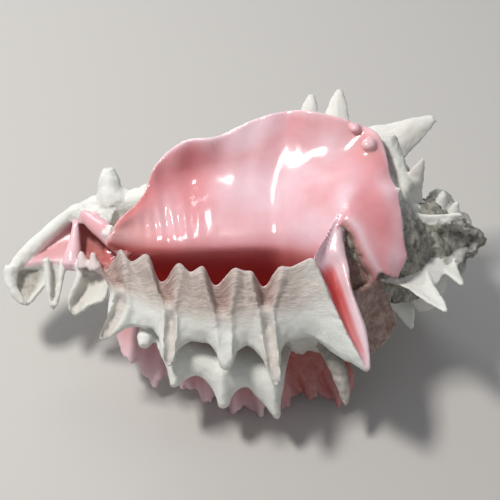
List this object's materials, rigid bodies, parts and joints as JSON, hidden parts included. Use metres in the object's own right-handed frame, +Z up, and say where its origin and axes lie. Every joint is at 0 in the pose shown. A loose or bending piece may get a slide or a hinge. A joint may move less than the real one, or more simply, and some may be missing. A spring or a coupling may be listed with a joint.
{
  "type": "murex shell",
  "caption": "Spiny sea snail shell lying on its back, with a pink mouth behind a toothed lip, a flared shield, rows of folded spines and an open siphonal canal",
  "frame": {"origin": "middle of the bounding box in plan, at the height of the surface that the shell rests on", "axes": "X runs along the coiling axis with the tip of the spire at +X and the siphonal canal at -X, Z is up, and the toothed outer lip is on the -Y side"},
  "size_m": [0.1346, 0.0872, 0.0619],
  "materials": {
    "shell": "chalky outside, glossy pink inside the mouth"
  },
  "bodies": {
    "root": {"murex_shell": "shell"}
  },
  "joints": []
}
